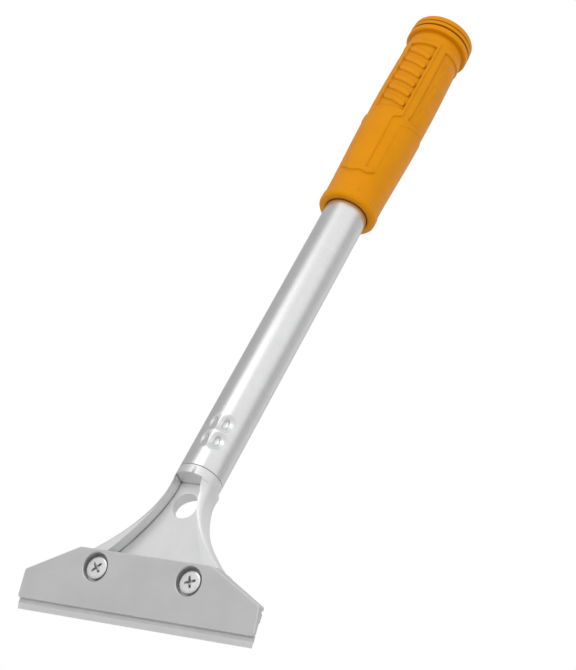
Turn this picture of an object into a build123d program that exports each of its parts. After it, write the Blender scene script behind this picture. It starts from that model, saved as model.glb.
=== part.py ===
from build123d import *
import math
import os

# Floor scraper with a clamped blade, a tubular handle and a moulded grip.
# Frame: the flat blade lies in the XZ plane. The origin is at the middle of its cutting edge, on the
# back face of the blade. X runs along the edge, Z up the blade, and the handle leans back towards +Y.
# All lengths are in millimetres and all angles in degrees.

# Blade
BLADE_LENGTH = 99.0
BLADE_WIDTH = 13.0
BLADE_THICKNESS = 0.85
BEVEL_WIDTH = 2.0
EDGE_FLAT = 0.10
REAR_CORNER_CLIP = 1.2
NOTCH_RADIUS = 2.3
PEG_HOLE_RADIUS = 2.0
PEG_SPACING = 62.0
PEG_RADIUS = 1.9
PEG_HEIGHT = 0.7
PEG_ROOT = 0.5

# Clamp plate: a wedge, thin at its lip and thick at its top
WEDGE_ANGLE = 9.0
PLATE_LIP_Z = 3.55
PLATE_LIP_THICKNESS = 1.1
PLATE_BOTTOM_HALF = 50.0
PLATE_SHOULDER_HALF = 49.5
PLATE_SHOULDER_HEIGHT = 10.33
PLATE_TOP_HALF = 27.9
PLATE_HEIGHT = 21.05
PLATE_CORNER_RADIUS = 1.2
PLATE_EDGE_CHAMFER = 0.3
SEAT_CLEARANCE = 0.05

# Clamp screws, M4 with a pan head, square to the blade
SCREW_SPACING = 39.5
SCREW_HEIGHT = 14.87
SCREW_RADIUS = 2.0
SCREW_SHANK_LENGTH = 6.4
SCREW_HEAD_RADIUS = 4.2
SCREW_HEAD_HEIGHT = 2.6
SCREW_HEAD_ROUNDING = 0.7
SCREW_TIP_CHAMFER = 0.5
RECESS_RADIUS = 5.16
RECESS_FLOOR = 0.85
RECESS_RIM_CHAMFER = 0.3
PLATE_HOLE_RADIUS = 2.25
THREAD_CLEARANCE = 0.03
CROSS_WIDTH = 0.95
CROSS_SPAN = 4.4
CROSS_DEPTH = 1.3
SCREW_TURNS = (45.0, 20.0)

# Handle line: the tube's axis crosses the blade plane at AXIS_CROSSING_Z
HANDLE_LEAN = 16.2
AXIS_CROSSING_Z = 21.2
SEAM_DISTANCE = 40.95
TUBE_RADIUS = 8.5
TUBE_WALL = 1.0
TUBE_LENGTH = 228.0
COLLAR_LENGTH = 3.7
COLLAR_CHAMFER = 0.25
COLLAR_OVERLAP = 0.6
COLLAR_STEP = 0.05
SPIGOT_LENGTH = 38.0
SPIGOT_CHAMFER = 1.0

# Head casting
HOLE_Z = 48.49
HOLE_RADIUS = 5.0
HOLE_RELIEF_RADIUS = 6.6
WEB_LEAN = 7.0
WEB_THICKNESS = 2.2
RIM_FRONT_SLOPE = 0.157
RIM_FRONT_RADIUS = 0.9
RIM_BACK_RADIUS = 3.6
FLARE_BOTTOM_Z = 25.0
FLARE_OVERLAP = 0.2
FLARE_HALF_WIDTH = 28.0
FLARE_POWER = 2.08
FLARE_LEVELS = (51.0, 46.5, 42.0, 37.5, 33.5, 30.0, 27.3)
SWELL_START_Z = 36.0
SWELL_SLOPE = 0.27
SHOULDER_ROUNDING = 2.2
POCKET_TOP_HALF = 5.6
POCKET_BOTTOM_HALF = 21.0
POCKET_POWER = 1.6
POCKET_POINTS = 9
BASE_BOTTOM_Z = 3.0
BASE_BOTTOM_THICKNESS = 1.5
BASE_HALF_WIDTH = 46.5
BASE_TOP_HALF = 27.8
BASE_SHOULDER_DROP = 1.6
BASE_CORNER_RADIUS = 1.0

# Reach of cutting and joining solids, longer than anything they pass through
REACH = 200.0

# Shortfall of a full rounding from half the width, and overlap of solids that join or cut each other
ROUND_MARGIN = 0.01
OVERLAP = 1.0

# Grip
GRIP_START = 132.4
GRIP_START_RADIUS = 11.0
GRIP_PROFILE = ((133.6, 11.9), (141.0, 11.7), (153.0, 12.1), (165.0, 12.5),
                (187.0, 12.8), (204.0, 12.5), (216.0, 12.0), (225.5, 11.8))
GRIP_FLANGE_START = 226.8
GRIP_FLANGE_RADIUS = 13.2
GRIP_WALL_END = 231.8
PLUG_RADIUS = 13.2
PLUG_EDGE_RADIUS = 1.2
PLUG_STEM_RADIUS = 9.8
PLUG_THICKNESS = 3.6
PLUG_STEM_LENGTH = 5.0

# Crimps that hold the tube on the spigot
CRIMP_DISTANCES = (12.0, 20.0)
CRIMP_ANGLES = (-5.0, 30.0, 175.0, 210.0)
CRIMP_DEPTH = 1.0
CRIMP_BALL_RADIUS = 3.0

# Values worked out from the ones above
LEAN = math.radians(HANDLE_LEAN)
HOLE_Y = (HOLE_Z - AXIS_CROSSING_Z) * math.tan(LEAN)
FLARE_TOP_Z = AXIS_CROSSING_Z + (SEAM_DISTANCE - COLLAR_LENGTH) * math.cos(LEAN)
SPIGOT_RADIUS = TUBE_RADIUS - TUBE_WALL
FLAT = Plane(origin=(0, 0, 0), x_dir=(1, 0, 0), z_dir=(0, -1, 0))


def plate_plane():
    """Plane of the clamp plate's front face, with its local Y up the face."""
    lip_front = -(BLADE_THICKNESS + PLATE_LIP_THICKNESS)
    wedge = math.radians(WEDGE_ANGLE)
    outward = (0, -math.cos(wedge), -math.sin(wedge))
    return Plane(origin=(0, lip_front, PLATE_LIP_Z), x_dir=(1, 0, 0), z_dir=outward)


def axis_plane(distance):
    """Plane square to the handle's axis, at a distance above the seam of head and tube."""
    along = SEAM_DISTANCE + distance
    centre = (0, along * math.sin(LEAN), AXIS_CROSSING_Z + along * math.cos(LEAN))
    return Plane(origin=centre, x_dir=(1, 0, 0), z_dir=(0, math.sin(LEAN), math.cos(LEAN)))


def rod(plane, radius, length):
    """Cylinder that stands on a plane and rises along its normal."""
    return plane * Cylinder(radius, length, align=(Align.CENTER, Align.CENTER, Align.MIN))


def screw_planes():
    """Planes of the two recess floors, square to the screws, left one first."""
    height = PLATE_LIP_Z + SCREW_HEIGHT * math.cos(math.radians(WEDGE_ANGLE))
    depth = -SEAT_CLEARANCE - RECESS_FLOOR
    return [Plane(origin=(side * SCREW_SPACING / 2, depth, height), x_dir=(1, 0, 0), z_dir=(0, -1, 0))
            for side in (-1, 1)]


def plate_outline():
    """Outline of the clamp plate on its front face."""
    corners = [
        (-PLATE_BOTTOM_HALF, 0),
        (PLATE_BOTTOM_HALF, 0),
        (PLATE_SHOULDER_HALF, PLATE_SHOULDER_HEIGHT),
        (PLATE_TOP_HALF, PLATE_HEIGHT),
        (-PLATE_TOP_HALF, PLATE_HEIGHT),
        (-PLATE_SHOULDER_HALF, PLATE_SHOULDER_HEIGHT),
    ]
    return fillet(Polygon(*corners, align=None).vertices(), PLATE_CORNER_RADIUS)


def make_blade():
    half = BLADE_LENGTH / 2
    top = BLADE_WIDTH
    clip = REAR_CORNER_CLIP
    outline = Polygon(
        (-half, 0), (half, 0), (half, top - clip), (half - clip, top),
        (-half + clip, top), (-half, top - clip), align=None)
    outline -= [Pos(side * half, top / 2) * Circle(NOTCH_RADIUS) for side in (-1, 1)]
    outline -= [Pos(side * PEG_SPACING / 2, top / 2) * Circle(PEG_HOLE_RADIUS) for side in (-1, 1)]
    blade = extrude(FLAT * outline, BLADE_THICKNESS)
    bevel = Plane.YZ * Polygon(
        (-EDGE_FLAT, 0), (-BLADE_THICKNESS, BEVEL_WIDTH), (-BLADE_THICKNESS - OVERLAP, BEVEL_WIDTH),
        (-BLADE_THICKNESS - OVERLAP, -OVERLAP), (-EDGE_FLAT, -OVERLAP), align=None)
    return blade - extrude(bevel, half + OVERLAP, both=True)


def slab(front, top):
    """Large block behind a depth and below a height, for trimming."""
    return Pos(0, front, top) * Box(REACH, REACH, REACH, align=(Align.CENTER, Align.MIN, Align.MAX))


def make_clamp_plate():
    face = plate_plane()
    block = extrude(face * plate_outline(), -REACH)
    front_edges = block.faces().sort_by(Axis(face.origin, face.z_dir))[-1].edges()
    block = chamfer(front_edges, PLATE_EDGE_CHAMFER)
    block -= slab(-SEAT_CLEARANCE, REACH / 2)
    block -= slab(-BLADE_THICKNESS, BLADE_WIDTH + SEAT_CLEARANCE)
    for plane in screw_planes():
        block -= rod(plane, RECESS_RADIUS, REACH)
    front = block.faces().sort_by(Axis(face.origin, face.z_dir))[-1]
    rims = [edge for wire in front.inner_wires() for edge in wire.edges()]
    block = chamfer(rims, RECESS_RIM_CHAMFER)
    for plane in screw_planes():
        block -= rod(plane * Pos(0, 0, -RECESS_RADIUS), PLATE_HOLE_RADIUS, 2 * RECESS_RADIUS)
    return block


def make_screw(plane, turn):
    """Pan-head screw with a cross recess turned by an angle."""
    head = rod(plane, SCREW_HEAD_RADIUS, SCREW_HEAD_HEIGHT)
    head = fillet(head.edges().sort_by(Axis.Y)[0], SCREW_HEAD_ROUNDING)
    shank = rod(plane * Pos(0, 0, -SCREW_SHANK_LENGTH), SCREW_RADIUS, SCREW_SHANK_LENGTH)
    shank = chamfer(shank.edges().sort_by(Axis.Y)[-1], SCREW_TIP_CHAMFER)
    slot = Box(CROSS_SPAN, CROSS_WIDTH, CROSS_DEPTH, align=(Align.CENTER, Align.CENTER, Align.MAX))
    cross = plane * Pos(0, 0, SCREW_HEAD_HEIGHT) * Rot(0, 0, turn) * (slot + Rot(0, 0, 90) * slot)
    return head + shank - cross


def web_front(z):
    """Depth of the pocket's floor at a height."""
    return HOLE_Y + (z - HOLE_Z) * math.tan(math.radians(WEB_LEAN))


def flare_width(z, narrow, wide, power):
    """Half width at a height of an outline that flares from the collar down to the clamp plate."""
    fall = (FLARE_TOP_Z - z) / (FLARE_TOP_Z - FLARE_BOTTOM_Z)
    return narrow + (wide - narrow) * max(fall, 0) ** power


def neck_back(z):
    """Depth of the neck's back at a height. It swells backwards towards the round collar."""
    return web_front(z) + WEB_THICKNESS + SWELL_SLOPE * max(z - SWELL_START_Z, 0)


def neck_section(plane, half, depth, front_radius, back_radius):
    """Cross section of the neck, centred on a plane whose local Y points backwards."""
    outline = Rectangle(2 * half, depth)
    outline = fillet(outline.vertices().group_by(Axis.Y)[0], front_radius)
    back_corners = outline.vertices().group_by(Axis.Y)[-1]
    return plane * fillet(back_corners, back_radius)


def make_neck():
    """Flared neck that runs from the round collar to the wide base."""
    top_half = TUBE_RADIUS - COLLAR_STEP
    top_radius = top_half - ROUND_MARGIN
    sections = [neck_section(axis_plane(-COLLAR_LENGTH), top_half, 2 * top_half, top_radius, top_radius)]
    for z in FLARE_LEVELS + (FLARE_BOTTOM_Z + FLARE_OVERLAP,):
        front = (z - FLARE_BOTTOM_Z) * RIM_FRONT_SLOPE
        back = neck_back(z)
        half = flare_width(z, TUBE_RADIUS, FLARE_HALF_WIDTH, FLARE_POWER)
        rise = (z - FLARE_BOTTOM_Z) / (FLARE_LEVELS[0] - FLARE_BOTTOM_Z)
        plane = Plane(origin=(0, (front + back) / 2, z), x_dir=(1, 0, 0), z_dir=(0, 0, 1))
        front_radius = RIM_FRONT_RADIUS + SHOULDER_ROUNDING * rise ** 2
        sections.append(neck_section(plane, half, back - front, front_radius, RIM_BACK_RADIUS))
    return loft(sections)


def make_base():
    """Wedge behind the blade, with the same slanted shoulders as the clamp plate."""
    top = FLARE_BOTTOM_Z + FLARE_OVERLAP
    low = BASE_BOTTOM_Z
    shoulder_z = PLATE_LIP_Z + PLATE_SHOULDER_HEIGHT - BASE_SHOULDER_DROP
    outline = Polygon(
        (-BASE_HALF_WIDTH, low), (BASE_HALF_WIDTH, low), (BASE_HALF_WIDTH, shoulder_z),
        (BASE_TOP_HALF, top), (-BASE_TOP_HALF, top), (-BASE_HALF_WIDTH, shoulder_z), align=None)
    outline = fillet(outline.vertices(), BASE_CORNER_RADIUS)
    side = Plane.YZ * Polygon(
        (0, low), (BASE_BOTTOM_THICKNESS, low), (neck_back(top), top), (0, top), align=None)
    return extrude(FLAT * outline, -REACH) & extrude(side, REACH, both=True)


def pocket_outline():
    """Outline of the open channel between the rims, with straight sides above the collar's foot."""
    levels = [FLARE_TOP_Z - step * (FLARE_TOP_Z - FLARE_BOTTOM_Z) / (POCKET_POINTS - 1)
              for step in range(POCKET_POINTS)]
    right = [(flare_width(z, POCKET_TOP_HALF, POCKET_BOTTOM_HALF, POCKET_POWER), z) for z in levels]
    left = [(-x, z) for x, z in reversed(right)]
    roof = FLARE_TOP_Z + COLLAR_LENGTH
    top = Polyline(left[-1], (-POCKET_TOP_HALF, roof), (POCKET_TOP_HALF, roof), right[0])
    edges = [Spline(*right), Line(right[-1], left[0]), Spline(*left)]
    return make_face([line.edge() for line in edges] + list(top.edges()))


def hole_plane():
    """Plane square to the hanging hole's axis, on the front of the web."""
    lean = math.radians(WEB_LEAN)
    return Plane(origin=(0, HOLE_Y, HOLE_Z), x_dir=(1, 0, 0), z_dir=(0, -math.cos(lean), math.sin(lean)))


def make_pocket():
    """Channel in the front of the neck, between the rims and down to the web."""
    channel = extrude(FLAT * pocket_outline(), REACH, both=True)
    channel -= rod(axis_plane(-COLLAR_LENGTH), REACH, REACH)
    return channel & (hole_plane() * Box(REACH, REACH, REACH, align=(Align.CENTER, Align.CENTER, Align.MIN)))


def crimp_balls(radius):
    """Balls of a radius at the centres of the punches that dimple the tube and the spigot."""
    reach = TUBE_RADIUS + CRIMP_BALL_RADIUS - CRIMP_DEPTH
    balls = []
    for distance in CRIMP_DISTANCES:
        for angle in CRIMP_ANGLES:
            place = axis_plane(distance) * Rot(0, 0, angle - 90) * Pos(reach, 0, 0)
            balls.append(place * Sphere(radius))
    return balls


def make_head():
    head = make_neck() + make_base()
    collar = rod(axis_plane(-COLLAR_LENGTH - COLLAR_OVERLAP), TUBE_RADIUS, COLLAR_LENGTH + COLLAR_OVERLAP)
    head += chamfer(collar.edges().sort_by(Axis.Z)[-1], COLLAR_CHAMFER)
    head -= make_pocket()
    spigot = rod(axis_plane(-OVERLAP), SPIGOT_RADIUS, SPIGOT_LENGTH + OVERLAP)
    spigot = chamfer(spigot.edges().sort_by(Axis.Z)[-1], SPIGOT_CHAMFER)
    head += spigot - crimp_balls(CRIMP_BALL_RADIUS + TUBE_WALL)
    for side in (-1, 1):
        peg = Plane(origin=(side * PEG_SPACING / 2, PEG_ROOT, BLADE_WIDTH / 2), z_dir=(0, -1, 0))
        head += rod(peg, PEG_RADIUS, PEG_HEIGHT + PEG_ROOT)
    head -= rod(hole_plane() * Pos(0, 0, -REACH / 2), HOLE_RADIUS, REACH)
    head -= rod(hole_plane() * Pos(0, 0, -WEB_THICKNESS - REACH), HOLE_RELIEF_RADIUS, REACH)
    for plane in screw_planes():
        head -= rod(plane * Pos(0, 0, -REACH / 2), SCREW_RADIUS + THREAD_CLEARANCE, REACH)
    return head


def make_tube():
    """Round tube with its wall dimpled into the spigot."""
    outside = rod(axis_plane(0), TUBE_RADIUS, TUBE_LENGTH) - crimp_balls(CRIMP_BALL_RADIUS)
    bore = rod(axis_plane(-OVERLAP), SPIGOT_RADIUS, TUBE_LENGTH + 2 * OVERLAP)
    return outside - (bore - crimp_balls(CRIMP_BALL_RADIUS + TUBE_WALL))


def make_grip():
    """Moulded grip: a swelling sleeve with a flared end and a seat for the end plug."""
    side = [(radius, distance) for distance, radius in GRIP_PROFILE]
    start = Polyline((TUBE_RADIUS, GRIP_START), (GRIP_START_RADIUS, GRIP_START), side[0])
    swell = Spline(*side)
    inside = Polyline(
        side[-1], (GRIP_FLANGE_RADIUS, GRIP_FLANGE_START), (GRIP_FLANGE_RADIUS, GRIP_WALL_END),
        (PLUG_STEM_RADIUS, GRIP_WALL_END), (PLUG_STEM_RADIUS, TUBE_LENGTH), (TUBE_RADIUS, TUBE_LENGTH),
        (TUBE_RADIUS, GRIP_START))
    section = Plane.XZ * make_face(start.edges() + swell.edges() + inside.edges())
    return axis_plane(0) * revolve(section, Axis.Z)


def make_end_plug():
    """Round plug that closes the tube and the grip's end."""
    cap = rod(axis_plane(GRIP_WALL_END), PLUG_RADIUS, PLUG_THICKNESS)
    cap = fillet(cap.edges().sort_by(Axis.Z)[-1], PLUG_EDGE_RADIUS)
    collar = rod(axis_plane(TUBE_LENGTH), PLUG_STEM_RADIUS, GRIP_WALL_END - TUBE_LENGTH)
    stem = rod(axis_plane(TUBE_LENGTH - PLUG_STEM_LENGTH), SPIGOT_RADIUS, PLUG_STEM_LENGTH)
    return cap + collar + stem


def build_all():
    screws = screw_planes()
    return {
        "blade": make_blade(),
        "clamp_plate": make_clamp_plate(),
        "clamp_screw_left": make_screw(screws[0], SCREW_TURNS[0]),
        "clamp_screw_right": make_screw(screws[1], SCREW_TURNS[1]),
        "scraper_head": make_head(),
        "handle_tube": make_tube(),
        "grip": make_grip(),
        "end_plug": make_end_plug(),
    }


os.makedirs("parts", exist_ok=True)
for name, shape in build_all().items():
    export_step(shape, "parts/" + name + ".step")
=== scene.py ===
import math

import bpy
import numpy as np
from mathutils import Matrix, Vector


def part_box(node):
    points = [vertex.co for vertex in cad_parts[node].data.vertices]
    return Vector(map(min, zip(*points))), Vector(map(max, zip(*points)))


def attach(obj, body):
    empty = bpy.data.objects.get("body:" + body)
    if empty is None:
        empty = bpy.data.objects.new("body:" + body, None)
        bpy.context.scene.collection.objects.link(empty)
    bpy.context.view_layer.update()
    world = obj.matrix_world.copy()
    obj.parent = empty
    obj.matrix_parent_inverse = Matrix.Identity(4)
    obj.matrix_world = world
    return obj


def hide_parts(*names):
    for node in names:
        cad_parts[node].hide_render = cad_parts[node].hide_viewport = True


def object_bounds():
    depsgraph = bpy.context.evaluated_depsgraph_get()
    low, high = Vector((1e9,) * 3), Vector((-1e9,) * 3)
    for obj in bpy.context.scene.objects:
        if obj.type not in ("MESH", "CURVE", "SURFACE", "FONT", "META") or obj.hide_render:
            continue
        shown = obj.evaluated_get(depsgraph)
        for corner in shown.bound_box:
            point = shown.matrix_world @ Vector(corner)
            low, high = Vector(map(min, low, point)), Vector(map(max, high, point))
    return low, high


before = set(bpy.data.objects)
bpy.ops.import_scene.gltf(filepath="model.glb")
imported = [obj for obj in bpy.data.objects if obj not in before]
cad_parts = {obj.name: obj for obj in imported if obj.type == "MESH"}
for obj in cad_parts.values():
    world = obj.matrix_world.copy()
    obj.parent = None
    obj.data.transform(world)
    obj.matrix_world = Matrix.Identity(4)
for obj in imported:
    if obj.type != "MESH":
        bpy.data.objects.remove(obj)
cad_low, cad_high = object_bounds()

# The floor scraper's looks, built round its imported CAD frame.
# Object coordinates are in metres. Sizes below are in millimetres, unless a comment says otherwise, and are
# multiplied by MM where they are used. Named angles are in degrees, apart from HANDLE_LEAN. "Distance" runs
# along the handle, up from the seam of head and tube.
MM = 0.001

# Handle line. The grip's pattern is turned round the handle by HANDLE_TURN.
HANDLE_LEAN = math.radians(16.2)
ALONG = Vector((0, math.sin(HANDLE_LEAN), math.cos(HANDLE_LEAN)))
FORWARD = Vector((0, -math.cos(HANDLE_LEAN), math.sin(HANDLE_LEAN)))
SIDEWAYS = Vector((1, 0, 0))
HANDLE_TURN = 11.5

# Tube. Its punches sit in dents, given as angle round the tube and depth.
TUBE_WALL = 1.0
TUBE_EDGE = 0.25
CRIMP_DISTANCES = (12.0, 19.8)
CRIMP_DENTS = {-5.5: 0.5, 29.5: 1.05, 174.5: 0.5, 209.5: 1.05}
DENT_RADIUS = 4.6
PUNCH_HALF_WIDTH = 1.2
PUNCH_HALF_LENGTH = 2.25
PUNCH_DEPTH = 0.55
PUNCH_WALL = 0.25

# Grip sleeve: outline as (distance, radius), then the heights and places of its relief
GRIP_OUTLINE = ((133.6, 11.4), (137.5, 11.38), (141.0, 11.4), (153.0, 11.7), (165.0, 12.1),
                (187.0, 12.45), (204.0, 12.3), (216.0, 11.95), (222.0, 11.6), (225.5, 11.45))
GRIP_START = 132.4
GRIP_START_RADIUS = 11.1
GRIP_NECK = 11.45
GRIP_BORE = 8.56
GRIP_FLANGE = 13.1
FLANGE_GROOVE = 0.8
GRIP_END = 231.75
SEAT_RADIUS = 9.85
RELIEF_RADIUS = 12.0
WALL_SLOPE = 0.38
COLLAR_HEIGHT = 0.32
COLLAR_TOP = 136.3
COLLAR_TAB = 1.6
COLLAR_TAB_EDGES = (-5.0, 5.2)
PAD_HEIGHT = 0.6
PAD_RIGHT = 3.46
SHOULDER = 177.2
SHOULDER_JOG = 3.1
LEDGE_DROP = 0.4
LEDGE_BOTTOM = 148.5
LEDGE_LEFT_DISTANCES = (149, 173, 179)
LEDGE_LEFT_SIDES = (5.13, 6.91, 6.6)
PANEL_DROP = 0.9
PANEL_EDGES = (-5.86, 5.55)
PANEL_BOTTOM = 181
PANEL_TOP = 218.4
FINGER_DROP = 0.6
FINGER_SIDE = 9.1
FINGER_WIDENING = 0.64
FINGER_BOTTOM = 178.4
FINGER_TOP = 218.3
FRAME_HALF = 7.7
FRAME_BOTTOM = 145.9
ARC_FIRST_TURN = 33.5
ARC_START = 173.6
ARC_RISE = 7.0
PATTERN_TOP = 220.4
PATTERN_TOP_SLANT = 0.16
TOOTH_TOPS = (214.0, 201.3, 188.6)
TOOTH_SIDE = 12.46
TOOTH_HEIGHT = 0.65
LEFT_TOOTH_SHARE = 0.3
TOOTH_LENGTH = 9.5
RIB_COUNT = 6
RIB_FIRST = 185.6
RIB_PITCH = 5.6
RIB_HALF_WIDTH = 1.35
RIB_HALF_LENGTH = 3.7
RIB_SLANT = 0.35
RIB_HEIGHT = 0.6

# End cap
CAP_RADIUS = 13.0
CAP_END = 235.3
STEM_RADIUS = 7.4
STEM_START = 223.0
COLLAR_START = 228.05

# CAD nodes that stay: corners closer than WELD_REACH join, and edges sharper than BEVEL_ANGLE are rounded
WELD_REACH = 0.002
BEVEL_ANGLE = 28

# Clamp screws
SCREW_TURNS = {"left": 45.0, "right": 20.0}
HEAD_HEIGHT = 2.6
HEAD_CROWN = 0.15
HEAD_ROUND = 0.75
SEAT_GAP = 0.03
CROSS_REACH = 2.3
CROSS_HALF_WIDTH = 0.48
CROSS_DEPTH = 1.7
THREAD_PITCH = 0.7
THREAD_DEPTH = 0.4
SHANK_RADIUS = 2.0

# Camera, with its place in metres
CAMERA_PLACE = (0.44696, -0.61268, -0.15650)
CAMERA_TURN = (110.884, -16.799, 28.281)
CAMERA_LENS = 120.57
SENSOR_WIDTH = 36.0

# Studio: brightness straight below and straight above the camera, then (place, grey level) pairs round it.
# Place 0 is straight ahead of the camera, 0.25 to its left, 0.5 behind it and 0.75 to its right.
STUDIO_BELOW = 0.75
STUDIO_ABOVE = 1.25
STUDIO_LEVELS = ((0.0, 0.50), (0.12, 0.40), (0.20, 0.38), (0.26, 0.62), (0.33, 0.74), (0.41, 0.78),
                 (0.50, 0.64), (0.62, 0.78), (0.71, 0.86), (0.75, 0.42), (0.80, 0.55), (0.88, 0.76),
                 (1.0, 0.50))

# Key light: its place and size in metres
KEY_PLACE = (-0.30, 0.95, 0.45)
KEY_SIZE = (0.80, 0.50)
KEY_POWER = 1.2

# Floor: its reach to each side in metres, and its gap below the object
FLOOR_REACH = 40.0
FLOOR_GAP = 0.4


# ---------------------------------------------------------------- frame of the handle

tube_low, tube_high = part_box("handle_tube")
TUBE_RADIUS = (tube_high.x - tube_low.x) / 2 / MM
tube_rise = (tube_high.z - tube_low.z) / MM - 2 * TUBE_RADIUS * math.sin(HANDLE_LEAN)
TUBE_LENGTH = tube_rise / math.cos(HANDLE_LEAN)
SEAM = (tube_low + tube_high) / 2 - ALONG * (TUBE_LENGTH / 2 * MM)


def handle_points(distance, radius, angle):
    """Points in the frame for arrays of distance and radius in millimetres and angle in degrees."""
    turn = np.radians(angle)
    out = radius * np.cos(turn)
    side = radius * np.sin(turn)
    points = np.array(SEAM) + MM * (
        distance[..., None] * np.array(ALONG) + out[..., None] * np.array(FORWARD)
        + side[..., None] * np.array(SIDEWAYS))
    return points


def grid_mesh(name, points, ends="loop"):
    """Closed mesh from rings of points. Its ends join in a loop, or each end ring is one flat face."""
    rows, steps = points.shape[:2]
    index = np.arange(rows * steps).reshape(rows, steps)
    upper = np.roll(index, -1, axis=0) if ends == "loop" else index[1:]
    lower = index if ends == "loop" else index[:-1]
    quads = np.stack([lower, np.roll(lower, -1, axis=1), np.roll(upper, -1, axis=1), upper], axis=-1)
    faces = quads.reshape(-1, 4).tolist()
    if ends == "capped":
        faces.append(index[0][::-1].tolist())
        faces.append(index[-1].tolist())
    mesh = bpy.data.meshes.new(name)
    mesh.from_pydata(points.reshape(-1, 3).tolist(), [], faces)
    mesh.shade_smooth()
    piece = bpy.data.objects.new(name, mesh)
    bpy.context.scene.collection.objects.link(piece)
    face_outwards(mesh)
    return piece


def face_outwards(mesh):
    """Turns every face round if the closed mesh is inside out."""
    mesh.calc_loop_triangles()
    corners = np.zeros(len(mesh.loop_triangles) * 3, np.int32)
    mesh.loop_triangles.foreach_get("vertices", corners)
    places = np.zeros(len(mesh.vertices) * 3, np.float64)
    mesh.vertices.foreach_get("co", places)
    a, b, c = np.moveaxis(places.reshape(-1, 3)[corners.reshape(-1, 3)], 1, 0)
    volume = np.einsum("ij,ij->", a, np.cross(b, c))
    if volume < 0:
        mesh.flip_normals()


def rounded(points, size, steps=4):
    """Open outline with each inner corner rounded by a short curve that starts a size away from it."""
    result = [points[0]]
    for before, corner, after in zip(points, points[1:], points[2:]):
        before, corner, after = np.array(before), np.array(corner), np.array(after)
        reach_in = min(size, 0.45 * np.linalg.norm(before - corner))
        reach_out = min(size, 0.45 * np.linalg.norm(after - corner))
        start = corner + (before - corner) / np.linalg.norm(before - corner) * reach_in
        end = corner + (after - corner) / np.linalg.norm(after - corner) * reach_out
        for step in range(steps + 1):
            t = step / steps
            result.append(tuple((1 - t) ** 2 * start + 2 * t * (1 - t) * corner + t * t * end))
    result.append(points[-1])
    return result


def step_up(value, edge, width=WALL_SLOPE):
    """0 below an edge and 1 above it, with a smooth wall of a width."""
    share = np.clip((value - edge) / width + 0.5, 0, 1)
    return share * share * (3 - 2 * share)


def between(value, low, high, width=WALL_SLOPE):
    """1 between two edges and 0 outside them, with smooth walls."""
    return step_up(value, low, width) * (1 - step_up(value, high, width))


def smooth_outline(distance, outline):
    """Radius at a distance, on a smooth curve through (distance, radius) points."""
    places, radii = np.array(outline).T
    slopes = np.gradient(radii, places)
    i = np.clip(np.searchsorted(places, distance) - 1, 0, len(places) - 2)
    gap = places[i + 1] - places[i]
    t = (distance - places[i]) / gap
    start = (1 + 2 * t) * (1 - t) ** 2 * radii[i] + t * (1 - t) ** 2 * gap * slopes[i]
    end = t * t * (3 - 2 * t) * radii[i + 1] - t * t * (1 - t) * gap * slopes[i + 1]
    return start + end


def finish_piece(piece, body, slot, material, *nodes):
    """Gives a new piece its material and its body, and hides the CAD nodes that it stands for. Its slot is
    not used.
    """
    piece.data.materials.append(material)
    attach(piece, body)
    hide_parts(*nodes)
    return piece


# ---------------------------------------------------------------- tube

def crimp_relief(distance, angle):
    """Depth of the dented punches that hold the tube on the head's spigot."""
    depth = np.zeros(np.broadcast(distance, angle).shape)
    for place in CRIMP_DISTANCES:
        for turn, dent in CRIMP_DENTS.items():
            off = (angle - turn + 180) % 360 - 180
            side = np.radians(off) * TUBE_RADIUS
            up = distance - place
            dish = np.clip(1 - (side ** 2 + up ** 2) / DENT_RADIUS ** 2, 0, 1) ** 2
            oval = np.hypot(side / PUNCH_HALF_WIDTH, up / PUNCH_HALF_LENGTH)
            depth = np.maximum(depth, dent * dish + PUNCH_DEPTH * (1 - step_up(oval, 1.0, PUNCH_WALL)))
    return -depth


def make_tube(material):
    steps = 400
    crimp_zone = (CRIMP_DISTANCES[0] - DENT_RADIUS - 1, CRIMP_DISTANCES[-1] + DENT_RADIUS + 1)
    fine = np.arange(crimp_zone[0], crimp_zone[1], 0.14)
    inner = TUBE_RADIUS - TUBE_WALL
    outer_rows = [(TUBE_EDGE, TUBE_RADIUS)] + [(d, TUBE_RADIUS) for d in fine]
    outer_rows += [(d, TUBE_RADIUS) for d in np.linspace(crimp_zone[1], TUBE_LENGTH - TUBE_EDGE, 12)]
    inner_rows = [(TUBE_LENGTH - TUBE_EDGE, inner), (crimp_zone[1], inner)]
    inner_rows += [(d, inner) for d in fine[::-1]] + [(TUBE_EDGE, inner)]
    rim_top = [(TUBE_LENGTH, TUBE_RADIUS - TUBE_EDGE), (TUBE_LENGTH, inner + TUBE_EDGE)]
    rim_bottom = [(0.0, inner + TUBE_EDGE), (0.0, TUBE_RADIUS - TUBE_EDGE)]
    rows = np.array(outer_rows + rim_top + inner_rows + rim_bottom)
    angle = np.linspace(0, 360, steps, endpoint=False)[None, :]
    distance = np.repeat(rows[:, :1], steps, axis=1)
    radius = rows[:, 1:] + crimp_relief(distance, angle)
    piece = grid_mesh("tube_shell", handle_points(distance, radius, angle))
    weighted_normals(piece)
    return finish_piece(piece, "handle", "tube_aluminium", material, "handle_tube")


# ---------------------------------------------------------------- grip

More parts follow.
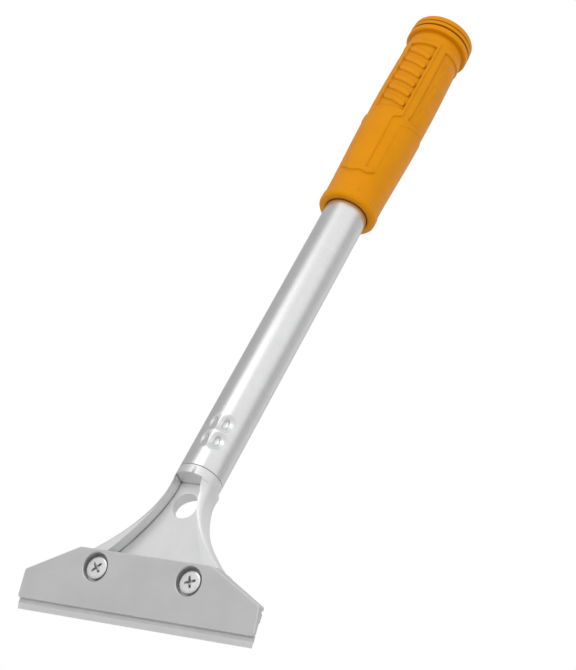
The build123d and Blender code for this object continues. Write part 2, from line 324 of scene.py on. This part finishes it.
def grip_relief(distance, angle):
    """Height of the moulded pattern above the sleeve's plain outline."""
    turned = (angle - HANDLE_TURN + 180) % 360 - 180
    across = np.radians(turned) * RELIEF_RADIUS
    side = np.abs(across)
    back = step_up(np.abs(turned), 152, 26)

    collar_top = COLLAR_TOP + COLLAR_TAB * between(across, *COLLAR_TAB_EDGES, 1.0)
    collar = COLLAR_HEIGHT * (1 - step_up(distance, collar_top, 0.6))

    # The raised frame on the front, and the band above the smooth lower sides
    bottom = FRAME_BOTTOM + 1.9 * (side / FRAME_HALF) ** 3 + 0.35 * np.sin(across * 0.9)
    frame_block = step_up(distance, bottom, 0.5) * (1 - step_up(side, FRAME_HALF, 0.65))
    arc_turns = 180 - ARC_FIRST_TURN
    arc_share = np.sin(np.radians(np.clip(np.abs(turned) - ARC_FIRST_TURN, 0, arc_turns) / arc_turns * 90))
    side_block = step_up(distance, ARC_START + ARC_RISE * arc_share ** 0.8, 0.5)
    raised = PAD_HEIGHT * np.maximum(frame_block, side_block)
    pattern_top = PATTERN_TOP + PATTERN_TOP_SLANT * side
    raised = raised * (1 - step_up(distance, pattern_top, 0.9))

    # The ledge steps down from the pad, jogs outwards at the shoulder and runs on to the top
    pad_right = PAD_RIGHT + SHOULDER_JOG * step_up(distance, SHOULDER, 2.4)
    slanted = np.interp(distance, LEDGE_LEFT_DISTANCES, LEDGE_LEFT_SIDES)
    ledge_right = step_up(across, pad_right, 0.35)
    ledge_left = step_up(-across, slanted, 0.35)
    ledge_zone = between(distance, LEDGE_BOTTOM, pattern_top, 0.45)
    ledge = LEDGE_DROP * np.maximum(ledge_right, ledge_left) * ledge_zone
    ledge = ledge * np.maximum(frame_block, side_block)

    finger_side = FINGER_SIDE + FINGER_WIDENING * step_up(distance, 180, 4)
    finger_rows = between(distance, FINGER_BOTTOM, FINGER_TOP + 0.07 * side)
    fingers = FINGER_DROP * step_up(side, finger_side) * finger_rows

    panel = PANEL_DROP * between(across, *PANEL_EDGES, 0.5) * between(distance, PANEL_BOTTOM, PANEL_TOP, 0.5)
    lowered = collar + raised - ledge - fingers * (1 - back) - panel
    return lowered + ribs(distance, across) + teeth(distance, turned, side)


def ribs(distance, across):
    """Slanted bars on the floor of the upper panel."""
    place = (distance - RIB_FIRST + RIB_SLANT * across) / RIB_PITCH
    number = np.round(place)
    off = np.abs(place - number) * RIB_PITCH
    inside = (number >= 0) & (number < RIB_COUNT)
    corner = np.hypot(np.clip(np.abs(across) - RIB_HALF_LENGTH, 0, None), off)
    return RIB_HEIGHT * inside * (1 - step_up(corner, RIB_HALF_WIDTH, 0.4))


def teeth(distance, turned, side):
    """Finger stops: wedges that are highest at their top edge and fade out downwards, lower on the left."""
    height = np.zeros(np.broadcast(distance, turned).shape)
    fade = (1 - step_up(np.abs(turned), 104, 24)) * np.where(turned < 0, LEFT_TOOTH_SHARE, 1.0)
    for top in TOOTH_TOPS:
        below = top + 1.5 * step_up(np.abs(turned), 80, 42) - distance
        wedge = np.clip(1 - below / TOOTH_LENGTH, 0, 1) * step_up(below, 0, 0.45)
        height = np.maximum(height, TOOTH_HEIGHT * wedge * step_up(side, TOOTH_SIDE, 0.45))
    return height * fade


def make_grip(material):
    steps = 520
    row_gap = 0.19
    patterned = np.arange(GRIP_OUTLINE[0][0], GRIP_OUTLINE[-1][0], row_gap)
    rows = [(d, r, 1.0) for d, r in zip(patterned, smooth_outline(patterned, GRIP_OUTLINE))]
    groove = GRIP_FLANGE - FLANGE_GROOVE
    flange = [(225.5, GRIP_NECK), (226.35, GRIP_NECK), (226.6, GRIP_FLANGE), (228.9, GRIP_FLANGE),
              (229.05, groove), (229.65, groove), (229.8, GRIP_FLANGE), (231.4, GRIP_FLANGE),
              (GRIP_END, groove), (GRIP_END, SEAT_RADIUS), (TUBE_LENGTH, SEAT_RADIUS),
              (TUBE_LENGTH, GRIP_BORE), (GRIP_START, GRIP_BORE), (GRIP_START, GRIP_START_RADIUS),
              (133.4, 11.72)]
    rows += [(d, r, 0.0) for d, r in rounded(flange, 0.3)]
    distance, base, patterned_row = (column[:, None] for column in np.array(rows).T)
    angle = np.linspace(0, 360, steps, endpoint=False)[None, :]
    radius = base + patterned_row * grip_relief(distance, angle)
    distance = np.repeat(distance, steps, axis=1)
    piece = grid_mesh("grip_sleeve", handle_points(distance, radius, angle))
    return finish_piece(piece, "handle", "orange_grip", material, "grip")


def make_end_cap(material):
    outline = [(STEM_START, 0.02), (STEM_START, STEM_RADIUS), (COLLAR_START, STEM_RADIUS),
               (COLLAR_START, SEAT_RADIUS - 0.05), (GRIP_END + 0.05, SEAT_RADIUS - 0.05),
               (GRIP_END + 0.05, CAP_RADIUS - 0.4), (232.2, CAP_RADIUS), (234.2, CAP_RADIUS - 0.1),
               (CAP_END, CAP_RADIUS - 1.6), (CAP_END, 9.0), (CAP_END - 0.5, 8.3), (CAP_END - 0.5, 0.02)]
    rows = np.array(rounded(outline, 0.4))
    steps = 240
    angle = np.linspace(0, 360, steps, endpoint=False)[None, :]
    distance = np.repeat(rows[:, :1], steps, axis=1)
    radius = np.repeat(rows[:, 1:], steps, axis=1)
    piece = grid_mesh("end_cap", handle_points(distance, radius, angle), ends="capped")
    weighted_normals(piece)
    return finish_piece(piece, "handle", "orange_grip", material, "end_plug")


# ---------------------------------------------------------------- screws

def screw_rows(head_radius, shank_end):
    """Outline of a screw as (height along its axis, radius), from the head's middle to the tip."""
    flat = head_radius - HEAD_ROUND
    crown = [(HEAD_HEIGHT - HEAD_CROWN * (r / flat) ** 2, r)
             for r in np.linspace(0.02, flat, 64)]
    edge = rounded([(HEAD_HEIGHT - HEAD_CROWN - 0.02, flat + 0.1), (HEAD_HEIGHT - 0.3, head_radius),
                    (0.15, head_radius), (SEAT_GAP, head_radius - 0.15), (SEAT_GAP, SHANK_RADIUS)], 0.6)
    shank = [(h, SHANK_RADIUS) for h in np.arange(-0.07, shank_end + 0.5, -0.07)]
    tip = [(shank_end + 0.4, 1.6), (shank_end, 1.2), (shank_end, 0.02)]
    return crown + edge + shank + tip


def cross_recess(x, y):
    """Depth of the driver's cross at a place on the head's face."""
    depth = np.zeros(np.broadcast(x, y).shape)
    for length, width in ((x, y), (y, x)):
        taper = np.clip(1 - np.abs(length) / CROSS_REACH, 0, 1)
        slot_half = CROSS_HALF_WIDTH * (0.75 + 0.25 * taper)
        wall = 1 - step_up(np.abs(width), slot_half, 0.16)
        depth = np.maximum(depth, wall * CROSS_DEPTH * taper ** 0.55)
    return depth


def make_screw(side, material):
    node = "clamp_screw_" + side
    low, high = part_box(node)
    centre = (low + high) / 2
    seat = low.y + HEAD_HEIGHT * MM
    shank_end = -(high.y - seat) / MM
    rows = np.array(screw_rows((high.x - low.x) / 2 / MM, shank_end))
    steps = 168
    angle = np.radians(np.linspace(0, 360, steps, endpoint=False))[None, :]
    height = np.repeat(rows[:, :1], steps, axis=1)
    radius = np.repeat(rows[:, 1:], steps, axis=1)
    turn = math.radians(SCREW_TURNS[side])
    on_face = height > HEAD_HEIGHT / 2
    recess = cross_recess(radius * np.cos(angle - turn), radius * np.sin(angle - turn))
    on_shank = between(height, shank_end + 0.5, -0.3, 0.2)
    phase = (height / THREAD_PITCH - angle / (2 * math.pi)) % 1.0
    groove = THREAD_DEPTH * (1 - np.abs(2 * phase - 1))
    radius = radius - on_shank * groove
    height = height - on_face * recess
    places = np.stack([centre.x + MM * radius * np.cos(angle), seat - MM * height,
                       centre.z + MM * radius * np.sin(angle)], axis=-1)
    piece = grid_mesh("pan_screw_" + side, places, ends="capped")
    return finish_piece(piece, "screw_" + side, "zinc_steel", material, node)


# ---------------------------------------------------------------- CAD nodes that stay

def weighted_normals(piece):
    modifier = piece.modifiers.new("Even shading", "WEIGHTED_NORMAL")
    modifier.keep_sharp = True


def soften_cad(node, edge, material):
    """Rounds a CAD node's edges a little, so that they catch light, and gives it its material."""
    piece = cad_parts[node]
    weld = piece.modifiers.new("Joined corners", "WELD")
    weld.merge_threshold = WELD_REACH * MM
    bevel = piece.modifiers.new("Soft edges", "BEVEL")
    bevel.width = edge * MM
    bevel.segments = 3
    bevel.limit_method = "ANGLE"
    bevel.angle_limit = math.radians(BEVEL_ANGLE)
    weighted_normals(piece)
    piece.data.materials.clear()
    piece.data.materials.append(material)


# ---------------------------------------------------------------- materials

class Shader:
    """A node material under construction, with short calls for the nodes used here."""

    def __init__(self, name):
        self.material = bpy.data.materials.new(name)
        self.material.use_nodes = True
        self.tree = self.material.node_tree
        self.surface = self.tree.nodes["Principled BSDF"]
        self.place = self.add("ShaderNodeTexCoord").outputs["Object"]

    def add(self, kind, inputs=None, **settings):
        """Adds a node, sets its properties, and sets or links its inputs."""
        node = self.tree.nodes.new(kind)
        for key, value in settings.items():
            setattr(node, key, value)
        for key, value in (inputs or {}).items():
            self.put(node.inputs[key], value)
        return node

    def put(self, socket, value):
        if isinstance(value, bpy.types.NodeSocket):
            self.tree.links.new(value, socket)
        else:
            socket.default_value = value

    def set(self, key, value):
        self.put(self.surface.inputs[key], value)

    def noise(self, size, detail=3.0, stretch=(1, 1, 1), roughness=0.55):
        """Noise with cells of about a size in millimetres, longer along an axis with a small stretch."""
        mapped = self.add("ShaderNodeMapping", {"Vector": self.place, "Scale": stretch})
        node = self.add("ShaderNodeTexNoise", {"Vector": mapped.outputs["Vector"], "Scale": 1 / (size * MM),
                                               "Detail": detail, "Roughness": roughness})
        return node.outputs["Fac"]

    def lines(self, size, axes, stretch, distortion=0.0):
        """Noise drawn out into fine lines in a turned frame."""
        turned = self.add("ShaderNodeMapping", {"Vector": self.place, "Rotation": axes})
        mapped = self.add("ShaderNodeMapping", {"Vector": turned.outputs["Vector"], "Scale": stretch})
        node = self.add("ShaderNodeTexNoise", {"Vector": mapped.outputs["Vector"], "Scale": 1 / (size * MM),
                                               "Detail": 4.0, "Distortion": distortion})
        return node.outputs["Fac"]

    def range(self, value, low, high, new_low, new_high):
        node = self.add("ShaderNodeMapRange", {"Value": value, "From Min": low, "From Max": high,
                                               "To Min": new_low, "To Max": new_high})
        return node.outputs["Result"]

    def mix(self, share, first, second):
        """Colour between two colours by a share from 0 to 1."""
        node = self.add("ShaderNodeMix", data_type="RGBA")
        self.put(node.inputs[0], share)
        self.put(node.inputs[6], first)
        self.put(node.inputs[7], second)
        return node.outputs[2]

    def math(self, operation, first, second=0.5):
        node = self.add("ShaderNodeMath", operation=operation)
        self.put(node.inputs[0], first)
        self.put(node.inputs[1], second)
        return node.outputs[0]

    def edges(self, radius):
        """1 on convex and concave edges within a radius in millimetres, 0 on flat faces. The plate and the
        grip use it to paint highlights on edges.
        """
        soft = self.add("ShaderNodeBevel", {"Radius": radius * MM}, samples=4)
        plain = self.add("ShaderNodeNewGeometry").outputs["Normal"]
        dot = self.add("ShaderNodeVectorMath", operation="DOT_PRODUCT")
        self.put(dot.inputs[0], soft.outputs["Normal"])
        self.put(dot.inputs[1], plain)
        return self.range(dot.outputs["Value"], 0.995, 0.90, 0.0, 1.0)

    def shade(self, reach):
        """1 in open places and less in hollows within a reach in millimetres."""
        node = self.add("ShaderNodeAmbientOcclusion", {"Distance": reach * MM}, samples=6)
        return node.outputs["AO"]

    def bump(self, *layers):
        """Stacks (height, depth in millimetres) layers into the surface normal."""
        normal = None
        for height, depth in layers:
            node = self.add("ShaderNodeBump", {"Height": height, "Strength": 1.0, "Distance": depth * MM})
            if normal is not None:
                self.put(node.inputs["Normal"], normal)
            normal = node.outputs["Normal"]
        self.set("Normal", normal)


def grey(level, warmth=0.0):
    return (level * (1 + warmth), level, level * (1 - warmth), 1.0)


def cast_metal():
    """Die-cast aluminium, blasted: soft grain, pits, faint flow marks, edges pulled to an even grey, and
    painted shade in hollows.
    """
    shader = Shader("cast_aluminium_satin")
    flow = shader.noise(9.0, 3.0, (1, 1, 0.6))
    grain = shader.noise(0.35, 4.0)
    pits = shader.range(shader.noise(1.1, 2.0), 0.30, 0.36, 0.0, 1.0)
    base = shader.mix(shader.range(flow, 0.35, 0.65, 0, 1), grey(0.84, -0.003), grey(0.88, -0.002))
    # Edges are pulled towards an even grey of 0.86.
    base = shader.mix(shader.math("MULTIPLY", shader.edges(0.35), 0.6), base, grey(0.86))
    # Painted shade: hollows within 0.9 mm are darkened towards grey 0.32.
    base = shader.mix(shader.range(shader.shade(0.9), 0.45, 0.85, 0, 1), grey(0.32), base)
    shader.set("Base Color", base)
    shader.set("Metallic", 0.82)
    shader.set("Roughness", shader.range(grain, 0.3, 0.7, 0.38, 0.50))
    shader.bump((grain, 0.004), (pits, 0.003))
    return shader.material


def plate_metal():
    """Rolled aluminium plate, fine-blasted to a satin grey, with faint rub marks and painted highlights on
    its edges.
    """
    shader = Shader("plate_aluminium_satin")
    cloud = shader.noise(14.0, 2.0)
    grain = shader.noise(0.22, 4.0)
    rubs = shader.lines(0.5, (0, 0.35, 0), (0.05, 1, 1), 0.3)
    base = shader.mix(shader.range(cloud, 0.35, 0.65, 0, 1), grey(0.68, -0.002), grey(0.72, -0.001))
    base = shader.mix(shader.range(rubs, 0.66, 0.80, 0, 0.25), base, grey(0.70))
    # Painted highlight: edges are lightened towards grey 0.97.
    base = shader.mix(shader.math("MULTIPLY", shader.edges(0.3), 0.9), base, grey(0.97))
    shader.set("Base Color", base)
    shader.set("Metallic", 0.75)
    shader.set("Roughness", shader.range(grain, 0.3, 0.7, 0.42, 0.54))
    shader.bump((grain, 0.002), (rubs, 0.001))
    return shader.material


def tube_metal():
    """Drawn aluminium tube, satin, with fine lines along its length and painted shade in its dents and near
    the seam.
    """
    shader = Shader("tube_aluminium_drawn")
    lines = shader.lines(0.65, (-HANDLE_LEAN, 0, 0), (1, 1, 0.012))
    mottle = shader.noise(4.0, 3.0)
    base = shader.mix(shader.range(mottle, 0.35, 0.65, 0, 1), grey(0.80, -0.003), grey(0.83, -0.002))
    base = shader.mix(shader.range(lines, 0.55, 0.80, 0, 0.12), base, grey(0.72))
    # Painted shade: dents and places near the seam are darkened towards grey 0.16.
    base = shader.mix(shader.range(shader.shade(0.9), 0.45, 0.85, 0, 1), grey(0.16), base)
    shader.set("Base Color", base)
    shader.set("Metallic", 0.92)
    shader.set("Roughness", shader.range(lines, 0.3, 0.7, 0.27, 0.30))
    shader.bump((lines, 0.0002), (mottle, 0.0006))
    return shader.material


def blade_metal():
    """Ground steel strip: lines along the flat faces and across the bevel."""
    shader = Shader("blade_steel_ground")
    along = shader.lines(0.16, (0, 0, 0), (0.02, 1, 1))
    across = shader.lines(0.16, (0, 0, 0), (1, 1, 0.03))
    height = shader.add("ShaderNodeSeparateXYZ", {"Vector": shader.place}).outputs["Z"]
    on_flat = shader.range(height, 1.9 * MM, 2.1 * MM, 0.0, 1.0)
    lines = shader.mix(on_flat, across, along)
    mottle = shader.noise(6.0, 3.0)
    base = shader.mix(shader.range(mottle, 0.35, 0.65, 0, 1), grey(0.62, -0.002), grey(0.68, -0.001))
    # Painted light: the bevel gets a lighter grey (0.90) than the flat faces, to make up for the darker
    # shading of its slant.
    base = shader.mix(on_flat, grey(0.90, -0.001), base)
    shader.set("Base Color", base)
    shader.set("Metallic", 0.65)
    shader.set("Roughness", shader.range(lines, 0.3, 0.7, 0.40, 0.52))
    shader.bump((lines, 0.0008))
    return shader.material


def screw_metal():
    """Bright zinc-plated steel, with painted shade in the driver's cross."""
    shader = Shader("zinc_steel_bright")
    mottle = shader.noise(0.8, 4.0)
    grain = shader.noise(0.12, 2.0)
    open_places = shader.shade(1.2)
    base = shader.mix(shader.range(mottle, 0.35, 0.65, 0, 1), grey(0.80, 0.004), grey(0.88, 0.002))
    # Painted shade: the driver's cross and other hollows are darkened towards grey 0.30.
    base = shader.mix(shader.range(open_places, 0.35, 0.8, 0, 1), grey(0.30), base)
    shader.set("Base Color", base)
    shader.set("Metallic", 0.85)
    shader.set("Roughness", shader.range(grain, 0.3, 0.7, 0.22, 0.32))
    shader.bump((grain, 0.0008), (mottle, 0.003))
    return shader.material


def grip_plastic():
    """Moulded orange rubber-like plastic: fine spark texture, painted highlights on edges, painted shade in
    hollows.
    """
    shader = Shader("orange_grip_moulded")
    cloud = shader.noise(11.0, 2.0)
    spark = shader.noise(0.16, 3.0)
    skin = shader.noise(0.9, 3.0)
    deep = (0.90, 0.325, 0.0005, 1)
    pale = (0.95, 0.345, 0.0005, 1)
    base = shader.mix(shader.range(cloud, 0.35, 0.65, 0, 1), deep, pale)
    # Painted highlight: edges are lightened towards a pale orange.
    base = shader.mix(shader.math("MULTIPLY", shader.edges(0.3), 0.45), base, (1.0, 0.44, 0.01, 1))
    # Painted shade: hollows are darkened towards a deep brown-orange.
    base = shader.mix(shader.range(shader.shade(1.6), 0.45, 0.95, 0.0, 1.0), (0.36, 0.11, 0.0005, 1), base)
    shader.set("Base Color", base)
    shader.set("Roughness", shader.range(spark, 0.3, 0.7, 0.40, 0.50))
    shader.set("Specular IOR Level", 0.45)
    shader.set("Specular Tint", (1.0, 0.72, 0.15, 1))
    shader.bump((spark, 0.010), (skin, 0.012))
    return shader.material


# ---------------------------------------------------------------- stage

def make_floor():
    """Pale floor under the blade's edge. It shows only from above."""
    size = FLOOR_REACH
    drop = cad_low.z - FLOOR_GAP * MM
    mesh = bpy.data.meshes.new("floor")
    mesh.from_pydata([(-size, -size, drop), (size, -size, drop), (size, size, drop), (-size, size, drop)],
                     [], [(0, 1, 2, 3)])
    floor = bpy.data.objects.new("floor", mesh)
    bpy.context.scene.collection.objects.link(floor)
    shader = Shader("floor_pale")
    cloud = shader.noise(60.0, 2.0)
    shader.set("Base Color", shader.mix(cloud, grey(0.80), grey(0.83)))
    shader.set("Roughness", 0.8)
    clear = shader.add("ShaderNodeBsdfTransparent").outputs[0]
    behind = shader.add("ShaderNodeNewGeometry").outputs["Backfacing"]
    both = shader.add("ShaderNodeMixShader", {0: behind, 1: shader.surface.outputs[0], 2: clear})
    output = shader.tree.nodes["Material Output"]
    shader.put(output.inputs["Surface"], both.outputs[0])
    mesh.materials.append(shader.material)


def make_camera():
    data = bpy.data.cameras.new("camera")
    data.sensor_width = SENSOR_WIDTH
    data.lens = CAMERA_LENS
    data.clip_start = 0.01
    camera = bpy.data.objects.new("camera", data)
    camera.location = CAMERA_PLACE
    camera.rotation_euler = [math.radians(turn) for turn in CAMERA_TURN]
    bpy.context.scene.collection.objects.link(camera)
    bpy.context.scene.camera = camera
    bpy.context.view_layer.update()
    return camera


def make_light(name, camera, place, size, power):
    """Soft box to the right of, above and in front of the object's middle, as the camera sees it."""
    data = bpy.data.lights.new(name, "AREA")
    data.shape = "RECTANGLE"
    data.size, data.size_y = size
    data.energy = power
    light = bpy.data.objects.new(name, data)
    aim = (cad_low + cad_high) / 2
    turn = camera.matrix_world.to_3x3()
    light.location = aim + turn @ Vector(place)
    light.rotation_mode = "QUATERNION"
    light.rotation_quaternion = (aim - light.location).to_track_quat("-Z", "Y")
    bpy.context.scene.collection.objects.link(light)


def make_world(camera):
    """White for the camera, and a soft studio round the object for everything else."""
    world = bpy.data.worlds.new("studio")
    world.use_nodes = True
    bpy.context.scene.world = world
    tree = world.node_tree
    tree.nodes.clear()
    turn = camera.matrix_world.to_3x3()
    direction = tree.nodes.new("ShaderNodeTexCoord").outputs["Generated"]

    def dot(axis):
        node = tree.nodes.new("ShaderNodeVectorMath")
        node.operation = "DOT_PRODUCT"
        node.inputs[1].default_value = axis
        tree.links.new(direction, node.inputs[0])
        return node.outputs["Value"]

    side = dot(turn @ Vector((1, 0, 0)))
    towards = dot(turn @ Vector((0, 0, 1)))
    around = tree.nodes.new("ShaderNodeMath")
    around.operation = "ARCTAN2"
    tree.links.new(side, around.inputs[0])
    tree.links.new(towards, around.inputs[1])
    share = tree.nodes.new("ShaderNodeMapRange")
    share.inputs["From Min"].default_value = -math.pi
    share.inputs["From Max"].default_value = math.pi
    tree.links.new(around.outputs[0], share.inputs["Value"])
    ramp = tree.nodes.new("ShaderNodeValToRGB")
    ramp.color_ramp.interpolation = "EASE"
    while len(ramp.color_ramp.elements) < len(STUDIO_LEVELS):
        ramp.color_ramp.elements.new(0.5)
    for element, (place, level) in zip(ramp.color_ramp.elements, STUDIO_LEVELS):
        element.position = place
        element.color = grey(level)
    tree.links.new(share.outputs["Result"], ramp.inputs["Fac"])
    # The studio is brighter above the camera's line of sight than below it
    rise = tree.nodes.new("ShaderNodeMapRange")
    rise.inputs["From Min"].default_value = -1.0
    rise.inputs["To Min"].default_value = STUDIO_BELOW
    rise.inputs["To Max"].default_value = STUDIO_ABOVE
    tree.links.new(dot(turn @ Vector((0, 1, 0))), rise.inputs["Value"])
    studio = tree.nodes.new("ShaderNodeBackground")
    tree.links.new(ramp.outputs["Color"], studio.inputs["Color"])
    tree.links.new(rise.outputs["Result"], studio.inputs["Strength"])
    white = tree.nodes.new("ShaderNodeBackground")
    white.inputs["Color"].default_value = (1, 1, 1, 1)
    mix = tree.nodes.new("ShaderNodeMixShader")
    tree.links.new(tree.nodes.new("ShaderNodeLightPath").outputs["Is Camera Ray"], mix.inputs[0])
    tree.links.new(studio.outputs[0], mix.inputs[1])
    tree.links.new(white.outputs[0], mix.inputs[2])
    output = tree.nodes.new("ShaderNodeOutputWorld")
    tree.links.new(mix.outputs[0], output.inputs["Surface"])


# ---------------------------------------------------------------- build

orange = grip_plastic()
zinc = screw_metal()
make_tube(tube_metal())
make_grip(orange)
make_end_cap(orange)
for screw_side in SCREW_TURNS:
    make_screw(screw_side, zinc)
soften_cad("scraper_head", 0.35, cast_metal())
soften_cad("clamp_plate", 0.12, plate_metal())
soften_cad("blade", 0.04, blade_metal())

camera = make_camera()
make_world(camera)
make_light("key", camera, KEY_PLACE, KEY_SIZE, KEY_POWER)
make_floor()
bpy.context.scene.view_settings.view_transform = "Standard"
